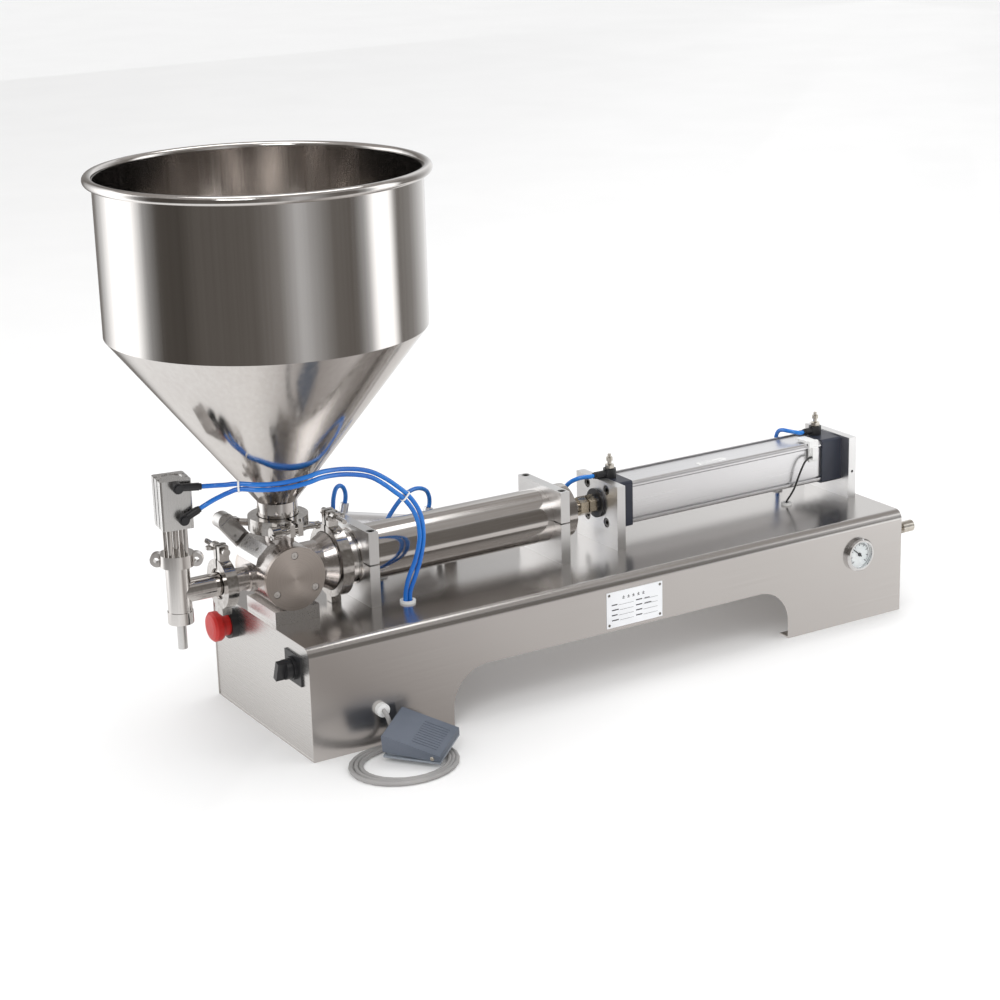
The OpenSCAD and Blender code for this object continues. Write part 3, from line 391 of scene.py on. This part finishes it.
def lathe(bm, profile, matrix, n=48):
    """profile is (radius, along) pairs turned about local Z, then placed by the matrix"""
    rings = []
    for r, z in profile:
        if r == 0:
            rings.append([bm.verts.new(matrix @ Vector((0, 0, z)))])
        else:
            rings.append([bm.verts.new(matrix @ Vector((r * math.cos(2 * math.pi * k / n),
                          r * math.sin(2 * math.pi * k / n), z))) for k in range(n)])
    for a, b in zip(rings, rings[1:]):
        for k in range(n):
            j = (k + 1) % n
            q = [a[k % len(a)], a[j % len(a)], b[j % len(b)], b[k % len(b)]]
            q = [v for i, v in enumerate(q) if v not in q[:i]]
            if len(q) > 2:
                bm.faces.new(q)


def box_at(bm, lo, hi, matrix=None):
    """a box between two corners, then placed by the matrix"""
    m = matrix or Matrix()
    vs = [bm.verts.new(m @ Vector((x, y, z))) for x in (lo[0], hi[0]) for y in (lo[1], hi[1])
          for z in (lo[2], hi[2])]
    for f in ((0, 1, 3, 2), (4, 6, 7, 5), (0, 4, 5, 1), (2, 3, 7, 6), (0, 2, 6, 4), (1, 5, 7, 3)):
        bm.faces.new([vs[i] for i in f])


def bevel(o, width, angle=35, planar=False):
    """rounded edges, width in mm; planar first joins the triangles of each flat face"""
    if planar:
        flat = o.modifiers.new("flat", "DECIMATE")
        flat.decimate_type = "DISSOLVE"
        flat.angle_limit = math.radians(0.5)
    edge = o.modifiers.new("edge", "BEVEL")
    edge.width = width * MM
    edge.segments = 2
    edge.limit_method = "ANGLE"
    edge.angle_limit = math.radians(angle)
    edge.harden_normals = False


# ---- cord, tubes and lead ---------------------------------------------------------------
# the pedal's free cord: out of the grommet, down behind the pedal, three loose turns on the
# floor that widen outwards, then up round the pedal's corner into its far side
CORD_R = 3 * MM
CORD_DROP = [(97, -147, 49.5), (97.3, -152, 47), (98.5, -155.5, 41), (100, -157.5, 33),
             (101, -158.5, 25), (100, -159.3, 17.5), (95.5, -159.8, 10.5), (87.5, -160.3, 5.5)]
CORD_END = [(162.5, -193, 3.3), (167.2, -184, 5.4), (170, -176.5, 9.5), (168.7, -169.8, 14),
            (163.7, -164.9, 18.6), (157.5, -162.9, 22.8), (152, -163.6, 26), (147.3, -165.9, 26.9),
            (143.5, -168.9, 26.2), (139.9, -171.7, 25.4)]
TURNS = [(90.85, -208.35, 54.85, 48.35), (89.5, -208.15, 62.5, 54.85), (88, -208, 70.3, 61.3)]
COIL_FROM, COIL_TO = 106, 365    # degrees, with two whole turns more between them
COIL_STEPS = 26                  # points per turn
COIL_Z = 3.05                    # the cord's axis when it lies on the floor


def turn_at(f):
    """centre and half widths of the coil at f, which goes from 0 at its start to 2 at its end"""
    k = min(int(f), 1)
    w = min(f - k, 1)
    return [a + (b - a) * w for a, b in zip(TURNS[k], TURNS[k + 1])]


def cord_points():
    """the cord's axis from the grommet to the pedal"""
    drop = catmull([mm(p) for p in CORD_DROP], 3)
    turns = []
    total = (COIL_TO - COIL_FROM) / 360 + 2
    count = round(total * COIL_STEPS)
    for i in range(count + 1):
        a = math.radians(COIL_FROM + 360 * total * i / count)
        cx, cy, rx, ry = turn_at(2 * i / count)
        wave = 0.25 * math.sin(3.1 * a)
        turns.append(mm((cx + (rx + wave) * math.cos(a), cy + (ry + wave * 0.5) * math.sin(a), COIL_Z)))
    end = catmull([turns[-1]] + [mm(p) for p in CORD_END], 3)
    return drop + turns + end[1:]


cord_pts = cord_points()
cord = tube_curve("pedal_cord_whole", cord_pts, CORD_R, M["cord"], "machine", 8)
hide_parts("pedal_cord", "pedal_cord_coil")

# the air tubes between the machine's own fittings and grommets, as in the CAD
ROUTES = {
    "tube_nozzle_upper": [(-78.87, -29.93, 347.37), (-71, -31.04, 346.67), (-62, -34.5, 346.6),
        (-53, -41, 347.2), (-38, -50, 348.3), (-20, -61, 346.5), (0, -67, 345), (20, -71, 345.5),
        (45, -71, 347), (67, -67, 348.5), (98, -58, 344.5), (127, -54, 338), (148, -52, 329.5),
        (167, -51, 317), (182, -51, 304.5), (196, -50, 291.5), (207, -51, 276), (213, -53, 261),
        (215, -54, 246), (214, -56, 231), (211, -57, 216), (206, -58, 200), (198, -59, 182),
        (190, -59.3, 164), (188.7, -59.3, 152), (188.7, -59.3, 143)],
    "tube_nozzle_lower": [(-82.17, -29.46, 319.59), (-75.05, -30.46, 323.09), (-67, -34, 328),
        (-59, -39.5, 333), (-50, -44.5, 337.5), (-38, -50, 341.2), (-20, -62, 340), (0, -69, 338.5),
        (20, -73, 338.5), (45, -73, 340), (67, -68, 341.5), (97, -60, 338), (125, -56, 331.5),
        (145, -53, 323.5), (162, -52, 311.5), (176, -52, 299.5), (189.5, -51, 287.5),
        (200.5, -52, 272.5), (206, -54, 259), (208, -56, 246), (207, -58, 231), (203, -59, 216),
        (197, -59.3, 200), (188, -59.3, 182), (183, -59.3, 164), (182.2, -59.3, 152),
        (182.2, -59.3, 143)],
    "tube_air_front": [(514.9, 0, 246), (508, 0, 246), (501, 2, 246.2), (493, 7, 244),
        (485, 15, 237.5), (481, 25, 224), (481, 33, 206), (484, 38, 188), (486, 40, 170),
        (486, 40, 143)],
    "tube_air_rear": [(880.9, 0, 246), (875, 0, 246), (869, 3, 247.5), (863, 11, 248.5),
        (860.5, 22, 248), (861, 32, 243.5), (862, 38.5, 233), (865, 42.5, 215), (868, 44, 195),
        (870, 44, 170), (870, 44, 143)],
}
# the two that run to the swinging actuator
LOOPS = {
    "tube_actuator_front": [(171.35, 78, 252), (172.7, 78, 258), (172.5, 77.7, 266), (169, 76, 274),
        (162, 73, 278.5), (154.5, 69.5, 276), (149, 66, 266), (146.5, 64, 252), (146, 63, 236),
        (146, 63, 215), (146, 63, 190), (146, 63, 165), (146, 63, 141)],
    "tube_actuator_rear": [(298.35, 78, 222.05), (299.8, 78, 228), (299, 77, 237), (294, 74.5, 246.5),
        (284, 70.5, 253), (271, 65.5, 256), (257, 60.5, 254.5), (243, 55.5, 248.5), (230, 51.5, 239),
        (218, 49, 226), (210, 48, 209), (206, 48, 188), (205, 48, 165), (205, 48, 141)],
}
SENSOR = [(868.8, -36.2, 219), (862, -36.8, 218.5), (855, -37.5, 214.5), (849, -37.5, 205),
          (844, -36, 192), (840, -33.5, 178), (837.5, -28, 166), (836, -21.5, 156), (836, -20, 150),
          (836, -20, 143)]
TUBE_R = 3 * MM
LEAD_R = 1.4 * MM
replaced = {"tube_nozzle_upper": "air_tubes", "tube_actuator_front": "actuator_tubes"}
for name, route in ROUTES.items():
    o = tube_curve(name, catmull([mm(p) for p in route], 5), TUBE_R, M["blue"], "machine")
    if name in replaced:
        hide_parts(replaced[name])
for name, route in LOOPS.items():
    bm = bmesh.new()
    pts = catmull([mm(p) for p in route], 6)
    sweep(bm, pts, TUBE_R)
    o = add_mesh(name, bm, M["blue"])
    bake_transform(o)
    if name in replaced:
        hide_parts(replaced[name])
o = tube_curve("sensor_lead", catmull([mm(p) for p in SENSOR], 5), LEAD_R, M["cable"], "machine")
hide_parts("sensor_cable")


# ---- small parts --------------------------------------------------------------------
def cable_tie(name, pa, pb, along):
    """a nylon band round two tubes, with its locking head and a cut tail"""
    pa, pb, t = mm(pa), mm(pb), Vector(along).normalized()
    d = pb - pa
    d = d - t * d.dot(t)
    half = d.length / 2
    d.normalize()
    m = Matrix((d, t.cross(d), t)).transposed().to_4x4()
    m.translation = (pa + pb) / 2
    bm = bmesh.new()
    steps = 12
    inner, outer, half_width = 3.1, 4.2, 1.2
    rings = []
    for r, w in ((inner, -half_width), (outer, -half_width), (outer, half_width), (inner, half_width)):
        ring = []
        for s in (1, -1):
            for k in range(steps + 1):
                a = math.pi * (k / steps - 0.5)
                x, y = s * (half + r * MM * math.cos(a)), s * r * MM * math.sin(a)
                ring.append(bm.verts.new(m @ Vector((x, y, w * MM))))
        rings.append(ring)
    for i in range(4):
        bridge(bm, rings[i], rings[(i + 1) % 4])
    box_at(bm, (-2 * MM, 3.6 * MM, -2 * MM), (2 * MM, 6.8 * MM, 2 * MM), m)
    box_at(bm, (-5 * MM, 5 * MM, -1.2 * MM), (-2 * MM, 5.9 * MM, 1.2 * MM), m)
    o = add_mesh(name, bm, M["white"], "machine")
    bevel(o, 0.25)


cable_tie("cable_tie_left", (-38, -50, 348.3), (-38, -50, 341.2), (33, -20, 0))
cable_tie("cable_tie_right", (196, -50, 291.5), (189.5, -51, 287.5), (12, -0.3, -14))


def facing_front(x, z, y):
    """matrix whose local XY is the front face of the base, local Z pointing out of it"""
    m = Matrix(((1, 0, 0), (0, 0, -1), (0, 1, 0))).to_4x4()
    m.translation = mm((x, y, z))
    return m


DIAL_AT = (871, 100, FRONT_Y - 1.05)    # x, z and y of the dial's middle
DIAL_R = 18.8
DIAL_TOP = 0.5                          # thickness of the dial; the print stands on it
PRINT_TOP = 0.62
DIAL_START, DIAL_SWEEP = 225, 270       # degrees
SCALE_R, RIM_R = 16.6, 17.0             # outer end of the strokes, outer edge of the scale's arc


def make_dial():
    """the gauge's dial and its scale: an arc with long and short strokes"""
    m = facing_front(*DIAL_AT)
    bm = bmesh.new()
    lathe(bm, [(0, 0), (DIAL_R * MM, 0), (DIAL_R * MM, DIAL_TOP * MM), (0, DIAL_TOP * MM)], m)
    add_mesh("gauge_dial", bm, M["dial"], "machine")
    bm = bmesh.new()

    def mark(share, inner, outer, half):
        turned = m @ Matrix.Rotation(math.radians(DIAL_START - DIAL_SWEEP * share), 4, "Z")
        box_at(bm, (inner * MM, -half * MM, DIAL_TOP * MM), (outer * MM, half * MM, PRINT_TOP * MM), turned)

    strokes, arc_pieces = 40, 60
    for i in range(strokes + 1):
        if i % 5 == 0:
            mark(i / strokes, 12.6, SCALE_R, 0.5)
        else:
            mark(i / strokes, 14.4, SCALE_R, 0.22)
    for i in range(arc_pieces):
        mark((i + 0.5) / arc_pieces, SCALE_R, RIM_R, 0.46)
    add_mesh("gauge_scale", bm, M["ink"], "machine")


NAMEPLATE_AT = (440, 81, FRONT_Y - 0.8)     # x, z and y of the plate's lower left corner
PRINT_H = 0.12                              # how far printed strokes stand out
RIVET = [(1.9 * MM, -0.3 * MM), (1.9 * MM, 0.2 * MM), (1.3 * MM, 0.8 * MM), (0, 1 * MM)]


def make_nameplate_print():
    """the plate's ruled form with short strokes where it would be filled in, and its rivets"""
    m = facing_front(*NAMEPLATE_AT)
    bm = bmesh.new()

    def bar(x, z, w, h):
        box_at(bm, (x * MM, z * MM, 0), ((x + w) * MM, (z + h) * MM, PRINT_H * MM), m)

    for x in (25, 33, 41, 49, 57):
        bar(x, 40, 4, 0.7)
        bar(x + 1.7, 38.3, 0.7, 4)
        bar(x, 38, 4, 0.6)
    for row in range(4):
        z = 31 - 7.2 * row
        bar(8, z, 9 + 2 * (row % 2), 1.5)
        bar(19 + 2 * (row % 2), z - 0.6, 24 - 2 * (row % 2), 0.35)
        bar(47, z, 10, 1.5)
        bar(59, z - 0.6, 23, 0.35)
        if row < 2:
            bar(61, z + 0.2, 8 + 3 * row, 1.1)
    add_mesh("nameplate_strokes", bm, M["ink"], "machine")
    bm = bmesh.new()
    for x in (4, 86):
        for z in (4, 46):
            k = m @ Matrix.Translation((x * MM, z * MM, 0))
            lathe(bm, RIVET, k, 20)
    add_mesh("nameplate_rivets", bm, M["darkscrew"], "machine")


BARREL_TOP = 235.3


def make_cylinder_label():
    """the label on top of the air cylinder, with three short strokes of print"""
    bm = bmesh.new()
    box_at(bm, mm((684, -17, BARREL_TOP)), mm((732, -5, BARREL_TOP + 0.25)))
    add_mesh("cylinder_label", bm, M["white"], "machine")
    bm = bmesh.new()
    for i, length in enumerate((30, 38, 22)):
        y = -15 + 3.6 * i
        box_at(bm, mm((689, y, BARREL_TOP + 0.2)), mm((689 + length, y + 1, BARREL_TOP + 0.32)))
    add_mesh("cylinder_label_strokes", bm, M["greyprint"], "machine")


def thread(name, centre, axis, length, r, pitch, body):
    """raised thread turns on a plain rod: a helical ridge from the rod's surface"""
    per_turn = 24
    steps = int(length / pitch * per_turn)
    half = pitch * 0.42 * MM
    root, crest = (r - 0.25) * MM, (r + 0.35) * MM
    z = Vector(axis).normalized()
    u = z.orthogonal().normalized()
    v = z.cross(u)
    bm = bmesh.new()
    rows = []
    for i in range(steps + 1):
        a = 2 * math.pi * i / per_turn
        d = u * math.cos(a) + v * math.sin(a)
        at = mm(centre) + z * (length * MM * i / steps)
        rows.append([bm.verts.new(at + d * root - z * half), bm.verts.new(at + d * crest),
                     bm.verts.new(at + d * root + z * half)])
    for a, b in zip(rows, rows[1:]):
        bridge(bm, a, b)
    bm.faces.new(rows[0])
    bm.faces.new(rows[-1])
    add_mesh(name, bm, M["steel"], body, 50)


PEDAL_AT = (72.7, -186.4, 6.4)    # the pedal's near corner, lifted by the cord under it
PEDAL_TURN, PEDAL_LEAN = -51.8, 10
PEDAL_WIDTH = 68.1
PAN_HEAD = [(2.9 * MM, -0.2 * MM), (2.9 * MM, 0.4 * MM), (2.2 * MM, 1.3 * MM), (0.9 * MM, 1.5 * MM),
            (0.7 * MM, 0.7 * MM), (0, 0.7 * MM)]


def make_pedal_screws():
    """pan-head pivot screws on both sides of the treadle"""
    pedal = (Matrix.Translation(mm(PEDAL_AT)) @ Matrix.Rotation(math.radians(PEDAL_TURN), 4, "Z")
             @ Matrix.Rotation(math.radians(PEDAL_LEAN), 4, "X"))
    for name, y, turn in (("pedal_screw_front", 0, 90), ("pedal_screw_rear", PEDAL_WIDTH, -90)):
        k = (pedal @ Matrix.Translation((66 * MM, y * MM, 7 * MM))
             @ Matrix.Rotation(math.radians(turn), 4, "X"))
        bm = bmesh.new()
        lathe(bm, PAN_HEAD, k, 24)
        add_mesh(name, bm, M["nickel"], "treadle")


make_dial()
make_nameplate_print()
make_cylinder_label()
make_pedal_screws()
thread("rod_thread_front", (480.4, 0, AXIS_Z), (1, 0, 0), 6.2, 8, 1.5, "pistons")
thread("outlet_bolt_thread", (-45, 22, 251), (0, 1, 0), 20, 3, 1, "machine")
thread("cylinder_bolt_thread", (109, -22, 268.5), (0, -1, 0), 18, 3, 1, "machine")

# softened edges on the machined blocks
for name, w in (("split_block_bases", 0.5), ("split_block_caps", 0.5), ("air_end_plates", 0.6),
                ("air_end_caps", 0.6), ("nozzle_cylinder", 0.4), ("valve_pedestal", 0.6),
                ("pedal_treadle", 0.7), ("pedal_base", 0.3), ("valve_crank", 0.5),
                ("stop_bracket", 0.5), ("selector_knob", 0.8), ("selector_plate", 0.4),
                ("rod_nuts", 0.4)):
    bevel(nodes[name], w, 40, True)


# ---- floor and light ------------------------------------------------------------------
def emission_mat(name):
    """an empty material, its node tree and its Emission shader"""
    m = bpy.data.materials.new(name)
    m.use_nodes = True
    t = m.node_tree
    t.nodes.clear()
    out = t.nodes.new("ShaderNodeOutputMaterial")
    e = t.nodes.new("ShaderNodeEmission")
    t.links.new(e.outputs[0], out.inputs[0])
    return m, t, e


def only_in_reflections(o):
    o.visible_camera = False
    o.visible_diffuse = False
    o.visible_shadow = False
    o.visible_transmission = False
    o.visible_volume_scatter = False


# the studio as the polished steel sees it: angle round the model, starting behind the camera
# and going clockwise seen from above, then brightness; warm where it is dark
BANDS = [(-180, 0.55), (-168, 0.3), (-150, 0.2), (-134, 0.8), (-118, 1.7), (-92, 1.7), (-80, 0.4),
         (-68, 0.09), (-50, 0.08), (-38, 0.13), (-24, 0.13), (0, 0.14), (16, 0.24), (30, 0.6),
         (42, 0.36), (54, 0.17), (70, 0.15), (80, 0.5), (88, 1.7), (102, 1.7), (110, 0.2),
         (128, 0.3), (150, 0.75), (168, 1.0), (180, 0.55)]
BACK = -121.1                   # the angle the bands start from, degrees
WALL_R, WALL_H, WALL_PARTS = 7.0, 5.5, 120


def bands(t):
    """the brightness of the studio by the angle round the model's origin"""
    tc = t.nodes.new("ShaderNodeTexCoord")
    mp = t.nodes.new("ShaderNodeMapping")
    mp.inputs["Rotation"].default_value = (0, 0, math.radians(-BACK))
    t.links.new(tc.outputs["Object"], mp.inputs["Vector"])
    sep = t.nodes.new("ShaderNodeSeparateXYZ")
    t.links.new(mp.outputs[0], sep.inputs[0])
    at = t.nodes.new("ShaderNodeMath")
    at.operation = "ARCTAN2"
    t.links.new(sep.outputs["Y"], at.inputs[0])
    t.links.new(sep.outputs["X"], at.inputs[1])
    top = max(v for _, v in BANDS)
    stops = []
    for deg, v in BANDS:
        k = v / top
        w = 1 - min(1, k / 0.25)
        stops.append(((deg + 180) / 360, (k, k * (1 - 0.13 * w), k * (1 - 0.25 * w))))
    return ramp(t, value_map(t, at.outputs[0], 0, 1, -math.pi, math.pi), stops), top


def staged(name, bm):
    """a stage object, which is not a part of the machine"""
    me = bpy.data.meshes.new(name)
    bm.to_mesh(me)
    bm.free()
    o = bpy.data.objects.new(name, me)
    scene.collection.objects.link(o)
    return o


def make_wall():
    """a tall ring round the studio that only reflections see, with bright and dark bands"""
    bm = bmesh.new()
    low, high = [], []
    for i in range(WALL_PARTS):
        a = 2 * math.pi * i / WALL_PARTS
        x, y = WALL_R * math.cos(a), WALL_R * math.sin(a)
        low.append(bm.verts.new((x, y, -0.01)))
        high.append(bm.verts.new((x, y, WALL_H)))
    for i in range(WALL_PARTS):
        j = (i + 1) % WALL_PARTS
        bm.faces.new((low[i], high[i], high[j], low[j]))
    o = staged("studio_wall", bm)
    m, t, e = emission_mat("studio_wall")
    colour, top = bands(t)
    t.links.new(colour, e.inputs["Color"])
    e.inputs["Strength"].default_value = top
    o.data.materials.append(m)
    only_in_reflections(o)


def flat_card(name, size, z):
    bm = bmesh.new()
    bmesh.ops.create_grid(bm, x_segments=1, y_segments=1, size=size)
    o = staged(name, bm)
    o.location = (0, 0, z)
    return o


def make_floor():
    """the pale floor that the camera sees"""
    floor = flat_card("floor", 14, -0.0003)
    m, t, b = new_mat("floor")
    g = noise_tex(t, coords(t, EVEN), 3, 3)
    t.links.new(ramp(t, g, [(0.3, (0.9, 0.9, 0.9)), (0.7, (0.92, 0.92, 0.92))]), b.inputs["Base Color"])
    b.inputs["Roughness"].default_value = 0.7
    floor.data.materials.append(m)


def make_floor_in_reflections():
    """the greyer floor that only reflections see: near the base it brightens to the right, and
    further out it has the studio's bands"""
    card = flat_card("floor_in_reflections", 7, -0.0001)
    m, t, e = emission_mat("floor_in_reflections")
    colour, top = bands(t)
    tc = t.nodes.new("ShaderNodeTexCoord")
    sep = t.nodes.new("ShaderNodeSeparateXYZ")
    t.links.new(tc.outputs["Object"], sep.inputs[0])
    near = ramp(t, value_map(t, sep.outputs["X"], 0, 1, -0.5, 1.5),
                [(0, (0.62, 0.62, 0.62)), (0.18, (0.55, 0.54, 0.53)), (0.3, (0.2, 0.185, 0.175)),
                 (0.46, (0.4, 0.385, 0.375)), (1, (0.62, 0.61, 0.6))])
    dist = t.nodes.new("ShaderNodeVectorMath")
    dist.operation = "LENGTH"
    mp = t.nodes.new("ShaderNodeMapping")
    mp.inputs["Location"].default_value = (-0.36, 0, 0)
    mp.inputs["Scale"].default_value = (0.75, 1, 0)
    t.links.new(tc.outputs["Object"], mp.inputs["Vector"])
    t.links.new(mp.outputs[0], dist.inputs[0])
    mix = t.nodes.new("ShaderNodeMix")
    mix.data_type = "RGBA"
    near_colour, far_colour = mix.inputs[6], mix.inputs[7]
    t.links.new(value_map(t, dist.outputs["Value"], 0, 1, 0.8, 1.15), mix.inputs["Factor"])
    t.links.new(near, near_colour)
    t.links.new(colour, far_colour)
    t.links.new(mix.outputs[2], e.inputs["Color"])
    e.inputs["Strength"].default_value = top
    card.data.materials.append(m)
    only_in_reflections(card)


def make_ceiling():
    """a dim warm ceiling that only reflections see"""
    o = flat_card("ceiling_in_reflections", 7, 5.4)
    m, t, e = emission_mat("ceiling_in_reflections")
    g = noise_tex(t, coords(t, EVEN), 0.5, 2)
    t.links.new(ramp(t, g, [(0.3, (0.3, 0.27, 0.25)), (0.7, (0.5, 0.49, 0.48))]), e.inputs["Color"])
    e.inputs["Strength"].default_value = 1
    o.data.materials.append(m)
    only_in_reflections(o)


def area(name, loc, aim, size, power, glossy=True):
    """a soft box aimed at a point; without glossy it does not show in reflections"""
    light = bpy.data.lights.new(name, "AREA")
    light.energy = power
    light.shape = "RECTANGLE"
    light.size = size[0]
    light.size_y = size[1]
    o = bpy.data.objects.new(name, light)
    scene.collection.objects.link(o)
    o.location = loc
    o.rotation_euler = (Vector(aim) - Vector(loc)).to_track_quat("-Z", "Y").to_euler()
    o.visible_glossy = glossy


make_floor()
make_floor_in_reflections()
make_wall()
make_ceiling()
area("key", (-2.2, -2.4, 3.2), (0.3, 0, 0.2), (1.4, 1.4), 26)
area("fill", (3.0, -2.2, 2.2), (0.4, 0, 0.2), (2, 2), 12, False)
area("top", (0.4, 0.3, 3.4), (0.4, 0, 0.2), (3.0, 1.2), 26)
world = bpy.data.worlds.new("world")
scene.world = world
world.use_nodes = True
world.node_tree.nodes["Background"].inputs[0].default_value = (1, 1, 1, 1)
world.node_tree.nodes["Background"].inputs[1].default_value = 1.0
scene.view_settings.view_transform = "Standard"
